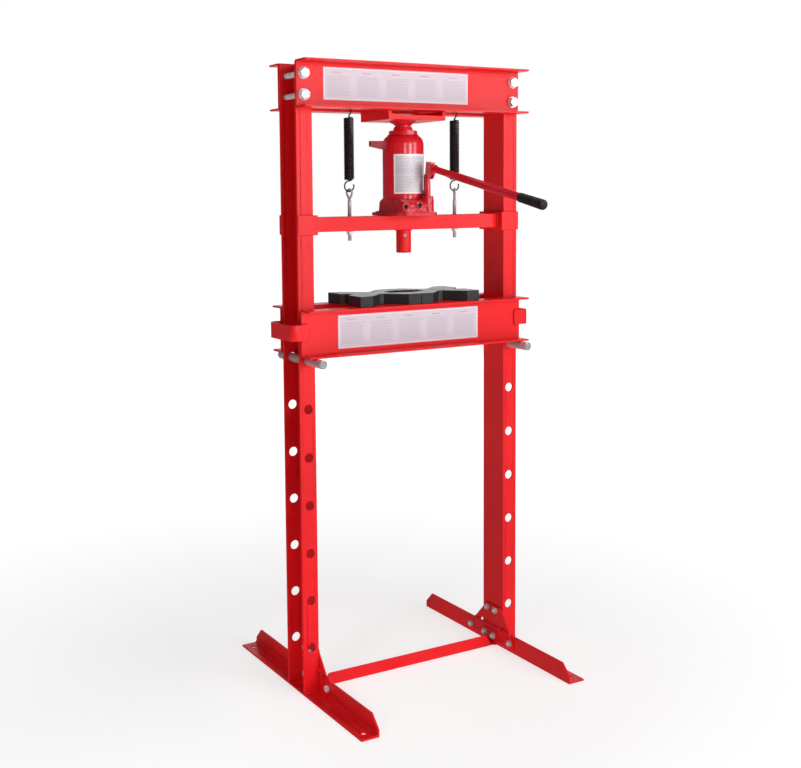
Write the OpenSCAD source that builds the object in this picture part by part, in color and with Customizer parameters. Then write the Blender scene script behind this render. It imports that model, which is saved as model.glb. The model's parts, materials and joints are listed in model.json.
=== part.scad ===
// Hydraulic shop press, 12 t class: welded H-frame, bottle jack on a sprung crossbeam, pinned bed.
// Millimetres, +Z up, +X to the right and -Y to the front; the origin is on the floor, in the middle.

/* [Frame] */
// Overall height of the press
press_h = 1300; // [1290:1:1320]
// Width over the posts
frame_w = 546; // [530:1:560]
// Post channel, size front to back
post_d = 75; // [70:1:78]
// Post channel, width of its flanges
post_w = 36; // [34:1:38]
// Sheet thickness of the posts
post_t = 4; // [3:0.5:4.5]
// Height of the two top beams
top_h = 94; // [90:1:98]
// Reach of the top beam flanges from the middle plane
top_reach = 80; // [76:1:84]

/* [Feet] */
// Length of each foot, front to back
foot_l = 550; // [520:5:600]
// Leg size of the foot angle
foot_leg = 40; // [38:1:44]
// Distance between anchor holes along a foot
anchor_pitch = 502; // [480:2:502]

/* [Bed] */
// Height of the pin holes that carry the bed
pin_z = 699.5; // [599.5:100:699.5]
// Height of the two bed channels
bed_h = 96; // [90:1:98]
// Diameter of the bed pins
pin_d = 18; // [16:0.5:18.5]
// Length of the bed pins
pin_l = 190; // [186:2:200]
// Thickness of the loose press plates
plate_t = 22; // [18:1:24]

/* [Moving crossbeam] */
// Underside of the crossbeam bar at rest
bar_z = 958.5; // [955:0.5:962]
// Height of the crossbeam bar
bar_h = 30; // [28:1:32]
// Depth of the crossbeam bar, front to back
bar_d = 50; // [46:1:54]
// Diameter of the ram
ram_d = 32; // [28:1:36]
// Length of the ram below the bar
ram_l = 49.5; // [40:0.5:60]
// Distance of the return springs from the middle
spring_x = 132; // [125:1:140]
// Outside diameter of the return springs
spring_od = 21.5; // [20:0.5:24]

/* [Jack] */
// Outside diameter of the oil tank
tank_d = 88; // [86:1:89]
// Diameter of the jack piston
piston_d = 42; // [40:0.5:43]
// Outside diameter of the handle tube
handle_d = 16; // [16:0.5:18]
// Slope of the handle below level
handle_slope = 11.6; // [5:0.1:15]

/* [Hidden] */
$fn = 64;

RED = [0.85, 0.07, 0.09];
BLACK = [0.1, 0.1, 0.11];
ZINC = [0.78, 0.79, 0.8];
STEEL = [0.6, 0.61, 0.63];
PAPER = [0.9, 0.89, 0.93];
eps = 0.5;           // how far cutters run past a face

// frame
web_x = frame_w / 2 - post_w;          // inner face of each post web
face_y = post_d / 2;                   // front and rear faces of the posts
foot_t = 4;
post_top = press_h - 2;
hole_d = 19.2;
pin_axis_z = pin_z - (hole_d - pin_d) / 2 + 0.05;
hole_x = frame_w / 2 - 19.5;           // centre line of the pin holes
hole_pitch = 100;
hole_count = 7;
hole_low = pin_z - (hole_count - 1) * hole_pitch;
beam_t = 4.5;                          // web of the top beams
flange_t = 4;
top_z = press_h - top_h;
top_bolt_x = frame_w / 2 - 16;
top_bolt_z = [top_z + 26, top_z + 68];
m12 = 12;

// head plate and spring rods
head_x = 70;
head_y = 58;
head_z = 1187;
head_t = 10;
head_rim = 8;
rod_d = 8;
rod_z = top_z + 7;

// feet
foot_chamfer = 25;
anchor_d = 11;
anchor_x = frame_w / 2 - 18.5;
gusset_t = 3.5;
gusset_joggle_z = [foot_leg + 1, foot_leg + 5];
gusset_outline = [[-84, 8], [84, 8], [84, 23], [26, 84], [26, 89], [-31, 89], [-84, 23]];
gusset_hole = [38, 44, 9];             // y, z and diameter
tie_plate_t = 3;
tie_in = web_x - foot_t - gusset_t;    // outer face of the tie's end plates
base_d = 8;
base_z = 22;
upper_bolt = [15, 80];
inner_bolt_y = 16;
outer_bolt_y = 74;

// bed
bed_z = pin_axis_z + pin_d / 2;
bed_top = bed_z + bed_h;
bed_web = 5;
bed_in = 43.5;                         // inner faces of the bed webs
bed_out = bed_in + bed_web;
bed_reach = 83.5;
strap_t = 4;
strap_z = [bed_z + 34, bed_z + 66.5];
strap_x = 298;
strap_start = 258;
plate_x = 148;
plate_y = 70;

// crossbeam
bar_top = bar_z + bar_h;
bar_t = 3;
bar_end = web_x - 8;
collar_t = 4;
collar_gap = 1;                        // sliding clearance on the post faces
collar_z = [bar_z - 5.5, bar_z + 34.5];
eye_d = 8;
eye_wire = 4.5;
eye_r = 7;
eye_z = 1037;
spring_wire = 3;
spring_z = [1063, 1193];
hook_r = 11;
hook_z = eye_z + eye_r - eye_wire / 2 - spring_wire / 2 - 0.1 + hook_r;
top_hook_r = 7;
top_hook_z = rod_z + rod_d / 2 + spring_wire / 2 + 0.1 - top_hook_r;

// jack
jack_x = 50;
jack_y = [-69, 62];
jack_chamfer = 15;
plinth_z = bar_top + 7;
deck_z = bar_top + 23.5;
skirt_z = bar_top + 35;
plug_z = 1010;
seat_z = bar_top + 12.5;
tank_top = 1157;
cyl_r = [piston_d / 2 + 1, 29];
piston_top = 1176;
saddle_z = 1176.9;
pump = [25.5, -56];
boss_z = 1029;
plunger_d = 12;
fulcrum = [-45, 1071];                 // y and z of the fixed pin that the socket rocks on
slot_y = [pump[1], pump[1] - 1.8];     // ends of the slot for the plunger pin
pivot_d = 5;
cheek_x = [3, 5.2];                     // sides of each fork cheek, from the plunger
link_x = [25.3, 28.3];
socket_front = -76;
handle_start = [27, -76, 1085.4];
spigot_d = handle_d - 2;
spigot_l = 119;
bar_start = 59;
bar_l = 308;
grip_start = 299;
grip_end = 371;
grip_d = 19.6;
release = [-36, 1007.5];

// ---- shared shapes ----

// channel along X: web on the plane y = 0 to web_t, flanges towards +Y
module channel_x(length, height, reach, web_t, fl_t) {
    translate([-length / 2, 0, 0]) cube([length, web_t, height]);
    for (z = [0, height - fl_t]) translate([-length / 2, 0, z]) cube([length, reach, fl_t]);
}

module along_x(x0, x1, d) {
    translate([x0, 0, 0]) rotate([0, 90, 0]) cylinder(d = d, h = x1 - x0);
}

module along_y(y0, y1, d) {
    translate([0, y0, 0]) rotate([-90, 0, 0]) cylinder(d = d, h = y1 - y0);
}

// rectangle with round corners, built from exact pieces
module round_rect(x0, y0, x1, y1, r) {
    translate([x0 + r, y0]) square([x1 - x0 - 2 * r, y1 - y0]);
    translate([x0, y0 + r]) square([x1 - x0, y1 - y0 - 2 * r]);
    for (x = [x0 + r, x1 - r], y = [y0 + r, y1 - r]) translate([x, y]) circle(r);
}

module hex(af, h) {
    cylinder(d = af / cos(30), h = h, $fn = 6);
}

// ring section swept round the Y axis, from angle a0 through span
module arc_wire(r, wire, a0, span) {
    rotate([90, 0, 0]) rotate([0, 0, a0]) rotate_extrude(angle = span) translate([r, 0]) circle(d = wire);
}

// rectangle with its four corners cut off
module cut_rect(x0, y0, x1, y1, c) {
    polygon([[x0 + c, y0], [x1 - c, y0], [x1, y0 + c], [x1, y1 - c], [x1 - c, y1], [x0 + c, y1],
        [x0, y1 - c], [x0, y0 + c]]);
}

module at_side(side) {
    if (side < 0) mirror([1, 0, 0]) children();
    else children();
}

// ---- posts and top ----

module post(side) {
    color(RED) at_side(side) difference() {
        union() {
            translate([web_x, -face_y, foot_t]) cube([post_t, post_d, post_top - foot_t]);
            for (y = [-face_y, face_y - post_t])
                translate([web_x, y, foot_t]) cube([post_w, post_t, post_top - foot_t]);
        }
        for (k = [0:hole_count - 1]) translate([hole_x, 0, hole_low + k * hole_pitch])
            along_y(-face_y - eps, face_y + eps, hole_d);
        for (z = top_bolt_z) translate([top_bolt_x, 0, z]) along_y(-face_y - eps, face_y + eps, m12 + 1);
        for (y = [-1, 1]) {
            translate([0, y * upper_bolt[0], upper_bolt[1]])
                along_x(web_x - eps, web_x + post_t + eps, base_d + 1);
            translate([0, y * inner_bolt_y, base_z]) along_x(web_x - eps, web_x + post_t + eps, base_d + 1);
        }
    }
}

module top_beam() {
    color(RED) difference() {
        translate([0, face_y, top_z]) channel_x(frame_w, top_h, top_reach - face_y, beam_t, flange_t);
        for (x = [-top_bolt_x, top_bolt_x], z = top_bolt_z)
            translate([x, 0, z]) along_y(face_y - eps, face_y + beam_t + eps, m12 + 1);
    }
}

// the plate that the jack pushes against, a shallow tray under both beams
module head_plate() {
    color(RED) {
        translate([-head_x, -head_y, head_z]) cube([2 * head_x, 2 * head_y, head_t]);
        for (x = [-head_x, head_x - head_rim])
            translate([x, -head_y, head_z]) cube([head_rim, 2 * head_y, top_z - head_z]);
    }
}

module spring_rods() {
    color(RED) for (x = [-spring_x, spring_x]) translate([x, 0, rod_z]) along_y(-face_y, face_y, rod_d);
}

module top_bolts() {
    color(ZINC) for (x = [-top_bolt_x, top_bolt_x], z = top_bolt_z) translate([x, 0, z]) {
        along_y(-face_y - beam_t - 2, face_y + beam_t + 16, m12);
        translate([0, -face_y - beam_t - 2, 0]) rotate([90, 0, 0]) hex(19, 7.5);
    }
}

module top_washers() {
    color(ZINC) for (x = [-top_bolt_x, top_bolt_x], z = top_bolt_z, s = [-1, 1])
        translate([x, s * (face_y + beam_t + 1), z]) difference() {
            along_y(-1, 1, 24);
            along_y(-2, 2, m12 + 0.6);
        }
}

module top_nuts() {
    color(ZINC) for (x = [-top_bolt_x, top_bolt_x], z = top_bolt_z)
        translate([x, face_y + beam_t + 2, z]) difference() {
            rotate([-90, 0, 0]) hex(19, 10);
            along_y(-eps, 11, m12 + 0.1);
        }
}

module top_label() {
    color(PAPER) translate([-213, -face_y - beam_t - 0.3, top_z + 17]) cube([351, 0.3, 65]);
}

// ---- feet ----

module foot(side) {
    color(RED) at_side(side) difference() {
        union() {
            translate([web_x - foot_t, foot_l / 2, 0]) rotate([90, 0, 0])
                linear_extrude(foot_l) square([foot_leg, foot_t]);
            translate([web_x - foot_t, 0, 0]) rotate([90, 0, 90]) linear_extrude(foot_t)
                polygon([[-foot_l / 2, 0], [foot_l / 2, 0], [foot_l / 2, foot_leg - foot_chamfer],
                    [foot_l / 2 - foot_chamfer, foot_leg], [foot_chamfer - foot_l / 2, foot_leg],
                    [-foot_l / 2, foot_leg - foot_chamfer]]);
        }
        for (y = [-1, 1]) {
            translate([anchor_x, y * anchor_pitch / 2, -eps]) cylinder(d = anchor_d, h = foot_t + 2 * eps);
            for (b = [inner_bolt_y, outer_bolt_y]) translate([0, y * b, base_z])
                along_x(web_x - foot_t - eps, web_x + eps, base_d + 1);
        }
    }
}

// plate stepped over the foot so that it lies on the post web higher up
module gusset(side) {
    lower = web_x - foot_t - gusset_t;
    upper = web_x - gusset_t;
    color(RED) at_side(side) difference() {
        intersection() {
            translate([0, 100, 0]) rotate([90, 0, 0]) linear_extrude(200)
                polygon([[lower, 0], [lower + gusset_t, 0], [lower + gusset_t, gusset_joggle_z[0]],
                    [upper + gusset_t, gusset_joggle_z[1]], [upper + gusset_t, 100], [upper, 100],
                    [upper, gusset_joggle_z[1]], [lower, gusset_joggle_z[0]]]);
            translate([lower - 10, 0, 0]) rotate([90, 0, 90]) linear_extrude(30) polygon(gusset_outline);
        }
        for (y = [-1, 1]) {
            translate([0, y * upper_bolt[0], upper_bolt[1]])
                along_x(upper - eps, upper + gusset_t + eps, base_d + 1);
            translate([0, y * gusset_hole[0], gusset_hole[1]])
                along_x(lower - eps, upper + gusset_t + eps, gusset_hole[2]);
            for (b = [inner_bolt_y, outer_bolt_y]) translate([0, y * b, base_z])
                along_x(lower - eps, lower + gusset_t + eps, base_d + 1);
        }
    }
}

// angle between the feet, its upright leg cut back at a slant clear of the nuts
module tie_bar() {
    leg_end = tie_in - 9.5;
    color(RED) {
        translate([-tie_in + tie_plate_t, -19, 1.5]) cube([2 * (tie_in - tie_plate_t), 38, 3]);
        translate([0, -16, 0]) rotate([90, 0, 0]) linear_extrude(3)
            polygon([[-leg_end, 1.5], [leg_end, 1.5], [leg_end - 17, 27.5], [17 - leg_end, 27.5]]);
        for (s = [-1, 1]) at_side(s) difference() {
            translate([tie_in - tie_plate_t, -24, 1.5]) cube([tie_plate_t, 48, 32]);
            for (y = [-inner_bolt_y, inner_bolt_y]) translate([0, y, base_z])
                along_x(tie_in - tie_plate_t - eps, tie_in + eps, base_d + 1);
        }
    }
}

// bolt places on one side: y, z, inner face under the nut, outer face under the head
base_places = [
    [upper_bolt[0], upper_bolt[1], web_x - gusset_t, web_x + post_t],
    [inner_bolt_y, base_z, tie_in - tie_plate_t, web_x + post_t],
    [outer_bolt_y, base_z, tie_in, web_x]];
base_nut_h = 6.5;

module base_bolts() {
    color(ZINC) for (s = [-1, 1]) at_side(s) for (p = base_places, y = [-p[0], p[0]])
        translate([0, y, p[1]]) {
            along_x(p[2] - base_nut_h - 2, p[3], base_d);
            translate([p[3], 0, 0]) rotate([0, 90, 0]) hex(13, 5.3);
        }
}

module base_nuts() {
    color(ZINC) for (s = [-1, 1]) at_side(s) for (p = base_places, y = [-p[0], p[0]])
        translate([0, y, p[1]]) difference() {
            translate([p[2] - base_nut_h, 0, 0]) rotate([0, 90, 0]) hex(13, base_nut_h);
            along_x(p[2] - base_nut_h - eps, p[2] + eps, base_d + 0.1);
        }
}

// ---- bed ----

module bed_beam() {
    color(RED) translate([0, bed_in, bed_z])
        channel_x(frame_w, bed_h, bed_reach - bed_in, bed_web, flange_t);
}

// U-shaped guide round the outside of a post, welded to both bed webs
module bed_strap(side) {
    color(RED) at_side(side) translate([0, 0, strap_z[0]]) linear_extrude(strap_z[1] - strap_z[0])
        difference() {
            round_rect(200, -bed_out - strap_t, strap_x, bed_out + strap_t, 16);
            round_rect(190, -bed_out, strap_x - strap_t, bed_out, 12);
            translate([190, -100]) square([strap_start - 190, 200]);
        }
}

module bed_label() {
    color(PAPER) translate([-189, -bed_out - 0.3, bed_z + 12]) cube([348, 0.3, 69]);
}

module bed_pin(side) {
    chamfer = 1.5;
    color(ZINC) translate([side * hole_x, pin_l - 105.5, pin_axis_z]) rotate([90, 0, 0]) rotate_extrude()
        polygon([[0, 0], [pin_d / 2 - chamfer, 0], [pin_d / 2, chamfer], [pin_d / 2, pin_l - chamfer],
            [pin_d / 2 - chamfer, pin_l], [0, pin_l]]);
}

// loose plate with a notch in each side: wide vees to front and rear, and a deep one to the middle
module press_plate(side) {
    middle = plate_x / 2;
    color(BLACK) at_side(side) translate([0, 0, bed_top]) linear_extrude(plate_t) difference() {
        translate([0.25, -plate_y]) square([plate_x - 0.25, 2 * plate_y]);
        for (s = [-1, 1])
            polygon([[middle - 44, s * (plate_y + 0.1)], [middle - 5, s * (plate_y - 40)],
                [middle + 5, s * (plate_y - 40)], [middle + 44, s * (plate_y + 0.1)]]);
        polygon([[-1, -26], [42, -14], [42, 14], [-1, 26]]);
        polygon([[plate_x + 1, -18], [plate_x - 16, -9], [plate_x - 16, 9], [plate_x + 1, 18]]);
    }
}

// ---- moving crossbeam ----

module crossbeam() {
    color(RED) difference() {
        translate([-bar_end, -bar_d / 2, bar_z]) cube([2 * bar_end, bar_d, bar_h]);
        translate([-bar_end - eps, -bar_d / 2 + bar_t, bar_z + bar_t])
            cube([2 * bar_end + 2 * eps, bar_d - 2 * bar_t, bar_h - 2 * bar_t]);
        for (x = [-spring_x, spring_x]) translate([x, 0, bar_z - eps])
            cylinder(d = eye_d + 0.6, h = bar_h + 2 * eps);
    }
}

module collar(side) {
    outer_y = face_y + collar_gap + collar_t;
    color(RED) at_side(side) translate([0, 0, collar_z[0]]) linear_extrude(collar_z[1] - collar_z[0])
        difference() {
            translate([bar_end, -outer_y]) square([frame_w / 2 + 1 - bar_end, 2 * outer_y]);
            translate([bar_end + collar_t, -face_y - collar_gap])
                square([frame_w, post_d + 2 * collar_gap]);
        }
}

module ram() {
    color(RED) difference() {
        translate([0, 0, bar_z - ram_l]) rotate_extrude()
            polygon([[0, 0], [ram_d / 2 - 1.5, 0], [ram_d / 2, 1.5], [ram_d / 2, ram_l], [0, ram_l]]);
        translate([0, 0, bar_z - 12]) rotate([0, 0, -110]) along_x(ram_d / 2 - 7, ram_d / 2 + 2, 6.1);
    }
}

module ram_screw() {
    color(STEEL) translate([0, 0, bar_z - 12]) rotate([0, 0, -110]) difference() {
        along_x(ram_d / 2 - 7, ram_d / 2 - 0.4, 6);
        along_x(ram_d / 2 - 3, ram_d / 2 + 1, 3);
    }
}

module eye_bolt(side, turn) {
    color(ZINC) translate([side * spring_x, 0, 0]) {
        translate([0, 0, bar_z - 21.5]) cylinder(d = eye_d, h = eye_z - eye_r - bar_z + 21.5);
        translate([0, 0, eye_z]) rotate([0, 0, turn]) arc_wire(eye_r, eye_wire, 0, 360);
    }
}

module eye_bolt_nuts() {
    color(ZINC) for (x = [-spring_x, spring_x]) translate([x, 0, bar_z - 6.5]) difference() {
        union() {
            hex(13, 5);
            translate([0, 0, 5]) cylinder(d = 16, h = 1.5);
        }
        translate([0, 0, -eps]) cylinder(d = eye_d + 0.1, h = 8);
    }
}

// closed-coil return spring as a sleeve, with its wire hooks
module spring(side) {
    color(BLACK) translate([side * spring_x, 0, 0]) {
        translate([0, 0, spring_z[0]]) difference() {
            cylinder(d = spring_od, h = spring_z[1] - spring_z[0]);
            translate([0, 0, spring_wire]) cylinder(d = spring_od - 2 * spring_wire,
                h = spring_z[1] - spring_z[0] - 2 * spring_wire);
        }
        translate([0, 0, top_hook_z]) arc_wire(top_hook_r, spring_wire, -90, 290);
        translate([0, 0, spring_z[1] - 1])
            cylinder(d = spring_wire, h = top_hook_z - top_hook_r - spring_z[1] + 1);
        translate([0, 0, hook_z]) arc_wire(hook_r, spring_wire, 90, 290);
        translate([0, 0, hook_z + hook_r]) cylinder(d = spring_wire, h = spring_z[0] - hook_z - hook_r + 1);
    }
}

// ---- jack body ----

module jack_base() {
    tank_r = tank_d / 2 + 0.05;
    block_y = jack_y[0] + 3.5;
    color(RED) difference() {
        union() {
            translate([0, 0, bar_top]) linear_extrude(plinth_z - bar_top)
                cut_rect(-jack_x, jack_y[0], jack_x, jack_y[1], jack_chamfer);
            translate([0, 0, plinth_z]) linear_extrude(2.5)
                cut_rect(5 - jack_x, jack_y[0] + 3, jack_x - 5, jack_y[1] - 6, jack_chamfer);
            // block at the front for the valves and the pump
            intersection() {
                translate([-60, 0, 0]) rotate([90, 0, 90]) linear_extrude(120)
                    polygon([[block_y, plinth_z], [block_y, 1011], [block_y + 3, 1017],
                        [block_y + 9.5, 1021], [block_y + 19.5, skirt_z], [-20, skirt_z], [-20, plinth_z]]);
                translate([0, 0, plinth_z]) linear_extrude(60) round_rect(-43, block_y, 42, -18, 16);
            }
            intersection() {
                rotate_extrude() polygon([[0, plinth_z], [53, plinth_z], [52.2, 1004], [51, 1016],
                    [49.8, 1019.5], [47, 1022.3], [tank_r + 0.7, skirt_z], [tank_r, skirt_z],
                    [tank_r, deck_z], [0, deck_z]]);
                translate([0, 0, plinth_z]) linear_extrude(60) round_rect(-43, -62, 43, 43, 14);
            }
            translate([pump[0], pump[1], plinth_z]) cylinder(r1 = 13, r2 = 11.8, h = boss_z - plinth_z);
            for (x = [link_x[0] - 3, link_x[1] + 0.2]) translate([x, fulcrum[0] - 3, plinth_z])
                cube([2.8, 7, boss_z + 12 - plinth_z]);
            translate([-2, 0, plug_z]) along_y(block_y - 2, -50, 16);
            translate([release[0], 0, release[1]]) along_y(-68, -36, 16);
        }
        translate([0, 0, deck_z]) cylinder(r = tank_r, h = 60);
        // pressure cylinder seat, oil ways and ball seats
        translate([0, 0, seat_z]) cylinder(r = cyl_r[1] + 0.05, h = 30);
        translate([0, 0, seat_z - 6]) cylinder(d = 6.2, h = 10);
        translate([pump[0], pump[1], bar_top + 5]) cylinder(d = 6.2, h = 12);
        translate([0, 0, seat_z - 5]) rotate([0, 0, atan2(pump[1], pump[0])])
            along_x(0, norm(pump), 3);
        // pump bore, release valve and relief plug
        translate([pump[0], pump[1], seat_z + 1]) cylinder(d = plunger_d + 0.1, h = 40);
        translate([release[0], 0, release[1]]) along_y(-71, -50, 11.1);
        translate([-2, 0, plug_z]) along_y(block_y - 3, -56, 11.1);
        translate([pump[0], fulcrum[0], boss_z + 7]) along_x(-12, 12, pivot_d + 0.1);
    }
}

// drawn steel tank with a domed shoulder, open round the pressure cylinder
module jack_tank() {
    r = tank_d / 2;
    wall = 3;
    color(RED) difference() {
        rotate_extrude() polygon(concat(
            [[r - wall, deck_z], [r, deck_z]],
            [for (a = [0:10:90]) [30 + (r - 30) * cos(a), tank_top - 21 + 21 * sin(a)]],
            [[cyl_r[1] + 0.1, tank_top], [cyl_r[1] + 0.1, tank_top - wall]],
            [for (a = [90:-10:0])
                [30 + (r - 30 - wall) * cos(a), tank_top - 21 + (21 - wall) * sin(a)]]));
        translate([0, 0, 1120]) along_y(r - 8, r + 2, 9);
    }
}

module jack_cylinder() {
    color(STEEL) translate([0, 0, seat_z]) difference() {
        cylinder(r = cyl_r[1], h = 1160 - seat_z);
        translate([0, 0, -eps]) cylinder(r = cyl_r[0], h = 200);
    }
}

module jack_top_nut() {
    color(RED) translate([0, 0, tank_top]) difference() {
        intersection() {
            union() {
                cylinder(r = 33.4, h = 2.2);
                hex(60, 10);
            }
            rotate_extrude() polygon([[0, 0], [33.4, 0], [33.4, 1.6], [31.2, 2.2], [31.2, 8], [29.5, 10],
                [0, 10]]);
        }
        translate([0, 0, -eps]) cylinder(r = cyl_r[1] + 0.05, h = 5.5);
        translate([0, 0, -eps]) cylinder(d = piston_d + 0.2, h = 20);
    }
}

module gland_seal() {
    color(BLACK) translate([0, 0, 1160.1]) difference() {
        cylinder(r = 26, h = 1.8);
        translate([0, 0, -eps]) cylinder(d = piston_d + 0.1, h = 5);
    }
}

module jack_label() {
    color(PAPER) translate([0, 0, 1034.5]) rotate([0, 0, -148]) rotate_extrude(angle = 116)
        translate([tank_d / 2 + 0.02, 0]) square([0.3, 82.5]);
}

module carry_lug() {
    color(RED) difference() {
        translate([0, 4, 0]) rotate([90, 0, 0]) linear_extrude(8)
            polygon([[-40, 1125.5], [-40, 1145.5], [-82, 1145], [-82, 1133.5]]);
        translate([0, 0, 1100]) cylinder(d = tank_d + 0.02, h = 80);
    }
}

module filler_plug() {
    color(BLACK) translate([0, 0, 1120]) {
        along_y(tank_d / 2 - 6, tank_d / 2 + 1, 8.9);
        along_y(tank_d / 2 + 0.1, tank_d / 2 + 3, 13);
    }
}

module relief_plug() {
    color(RED) translate([-2, 0, plug_z]) difference() {
        along_y(jack_y[0] + 4, -57, 11);
        along_y(-70, jack_y[0] + 6.5, 5);
    }
}

module check_balls() {
    color(STEEL) {
        translate([0, 0, seat_z - 2.6]) sphere(d = 6);
        translate([pump[0], pump[1], bar_top + 8.2]) sphere(d = 6);
    }
}

module release_valve() {
    color(ZINC) translate([release[0], 0, release[1]]) difference() {
        union() {
            along_y(-66, -54, 11);
            along_y(-54, -50.5, 6);
        }
        along_y(-68, -62, 6);
    }
}

// ---- piston ----

module jack_piston() {
    color(STEEL) difference() {
        translate([0, 0, 1004]) rotate_extrude() polygon([[0, 0], [piston_d / 2, 0],
            [piston_d / 2, 164.5], [piston_d / 2 - 1.2, 169], [18, piston_top - 1004],
            [0, piston_top - 1004]]);
        translate([0, 0, 1040]) cylinder(d = 30.2, h = 200);
    }
}

module piston_seal() {
    color(BLACK) translate([0, 0, 1006]) difference() {
        cylinder(r = cyl_r[0] - 0.05, h = 8);
        translate([0, 0, -eps]) cylinder(d = piston_d, h = 20);
    }
}

module extension_screw() {
    color(STEEL) {
        translate([0, 0, 1045]) cylinder(d = 30, h = saddle_z - 1045);
        translate([0, 0, saddle_z]) cylinder(d = 16, h = 8);
    }
}

module saddle() {
    color(RED) rotate_extrude() polygon([[8.05, saddle_z], [17.4, saddle_z], [17.4, 1178.2],
        [21, 1181], [28.6, 1184.6], [29, head_z], [8.05, head_z]]);
}

// ---- pump ----

// round below, and flattened at the top for the fork
module pump_plunger() {
    flat_x = cheek_x[0] - 0.2;
    color(STEEL) translate([pump[0], pump[1], 0]) difference() {
        translate([0, 0, 1009.6]) cylinder(d = plunger_d, h = fulcrum[1] + 6 - 1009.6);
        translate([0, 0, fulcrum[1]]) along_x(-8, 8, pivot_d + 0.1);
        for (x = [-10 - flat_x, flat_x]) translate([x, -10, fulcrum[1] - 13]) cube([10, 20, 30]);
    }
}

module plunger_pin() {
    color(ZINC) translate([pump[0], pump[1], fulcrum[1]])
        along_x(-cheek_x[1] - 1.6, cheek_x[1] + 1.6, pivot_d);
}

module pump_link() {
    link_t = link_x[1] - link_x[0];
    color(STEEL) translate([link_x[0], 0, 0]) difference() {
        rotate([90, 0, 90]) linear_extrude(link_t) {
            translate([fulcrum[0] - 4.2, boss_z + 7]) square([8.4, fulcrum[1] - boss_z - 7]);
            for (z = [boss_z + 7, fulcrum[1]]) translate([fulcrum[0], z]) circle(4.2);
        }
        for (z = [boss_z + 7, fulcrum[1]]) translate([0, fulcrum[0], z])
            along_x(-1, link_t + 1, pivot_d + 0.1);
    }
}

module link_pins() {
    color(ZINC) {
        translate([0, fulcrum[0], boss_z + 7]) along_x(link_x[0] - 3.8, link_x[1] + 3.8, pivot_d);
        translate([0, fulcrum[0], fulcrum[1]])
            along_x(link_x[0] - 1, pump[0] + cheek_x[1] + 1.2, pivot_d);
    }
}

// side plate of the fork: the right one runs back to the fulcrum, the left one ends at the plunger pin
module cheek(x, y, r) {
    translate([pump[0] + x, 0, 0]) rotate([90, 0, 90]) linear_extrude(cheek_x[1] - cheek_x[0]) {
        polygon([[y + r * 0.1, fulcrum[1] - r * 0.98], [y + r * 0.5, fulcrum[1] + r * 0.85], [-58, 1101],
            [socket_front, 1098], [socket_front, 1072], [-68, 1064], [-60, fulcrum[1] - 7]]);
        translate([y, fulcrum[1]]) circle(r);
    }
}

module handle_socket() {
    color(RED) {
        difference() {
            union() {
                cheek(cheek_x[0], fulcrum[0], 4);
                cheek(-cheek_x[1], pump[1], 4.4);
            }
            translate([pump[0], fulcrum[0], fulcrum[1]]) along_x(0, 10, pivot_d + 0.1);
            for (y = slot_y) translate([pump[0], y, fulcrum[1]]) along_x(-10, 10, pivot_d + 0.8);
            translate([pump[0] - 10, slot_y[1], fulcrum[1] - pivot_d / 2 - 0.4])
                cube([20, slot_y[0] - slot_y[1], pivot_d + 0.8]);
        }
        translate([pump[0] - cheek_x[0] - 0.2, 0, 0]) rotate([90, 0, 90])
            linear_extrude(2 * cheek_x[0] + 0.4) polygon([[-66, 1099.9], [socket_front, 1098],
                [socket_front, 1074], [-66, 1084]]);
        handle_axis() {
            translate([0, 0, -6]) cylinder(d = 19.5, h = 11);
            translate([0, 0, -6]) cylinder(d = spigot_d, h = spigot_l + 6);
        }
    }
}

module handle_axis() {
    translate(handle_start) rotate([90 + handle_slope, 0, 0]) children();
}

module handle_bar() {
    color(RED) handle_axis() difference() {
        translate([0, 0, bar_start]) cylinder(d = handle_d, h = bar_l);
        translate([0, 0, bar_start - eps]) cylinder(d = spigot_d + 0.2, h = bar_l + 2 * eps);
    }
}

module handle_grip() {
    grip_l = grip_end - grip_start;
    grip_r = grip_d / 2;
    color(BLACK) handle_axis() difference() {
        translate([0, 0, grip_start]) rotate_extrude() polygon([[0, 0], [9, 0], [9, 5], [9.3, 12],
            [grip_r, grip_l - 14], [grip_r, grip_l - 4], [grip_r - 1.5, grip_l - 1],
            [7.5, grip_l], [0, grip_l]]);
        translate([0, 0, grip_start - eps])
            cylinder(d = handle_d + 0.05, h = bar_start + bar_l - grip_start + eps);
    }
}

post(-1);  // post_left
post(1);  // post_right
mirror([0, 1, 0]) top_beam();  // top_beam_front
top_beam();  // top_beam_rear
head_plate();
spring_rods();
top_bolts();
top_washers();
top_nuts();
foot(-1);  // foot_left
foot(1);  // foot_right
gusset(-1);  // gusset_left
gusset(1);  // gusset_right
tie_bar();
base_bolts();
base_nuts();
top_label();
mirror([0, 1, 0]) bed_beam();  // bed_beam_front
bed_beam();  // bed_beam_rear
bed_strap(-1);  // bed_strap_left
bed_strap(1);  // bed_strap_right
bed_label();
bed_pin(-1);  // bed_pin_left
bed_pin(1);  // bed_pin_right
press_plate(-1);  // press_plate_left
press_plate(1);  // press_plate_right
crossbeam();
collar(-1);  // collar_left
collar(1);  // collar_right
ram();
ram_screw();
eye_bolt(-1, -63);  // eye_bolt_left
eye_bolt(1, 62);  // eye_bolt_right
eye_bolt_nuts();
spring(-1);  // spring_left
spring(1);  // spring_right
jack_base();
jack_tank();
jack_cylinder();
jack_top_nut();
gland_seal();
jack_label();
carry_lug();
filler_plug();
relief_plug();
check_balls();
release_valve();
jack_piston();
piston_seal();
extension_screw();
saddle();
pump_plunger();
plunger_pin();
pump_link();
link_pins();
handle_socket();
handle_bar();
handle_grip();
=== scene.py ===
import json
import math

import bmesh
import bpy
from mathutils import Matrix, Vector


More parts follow.
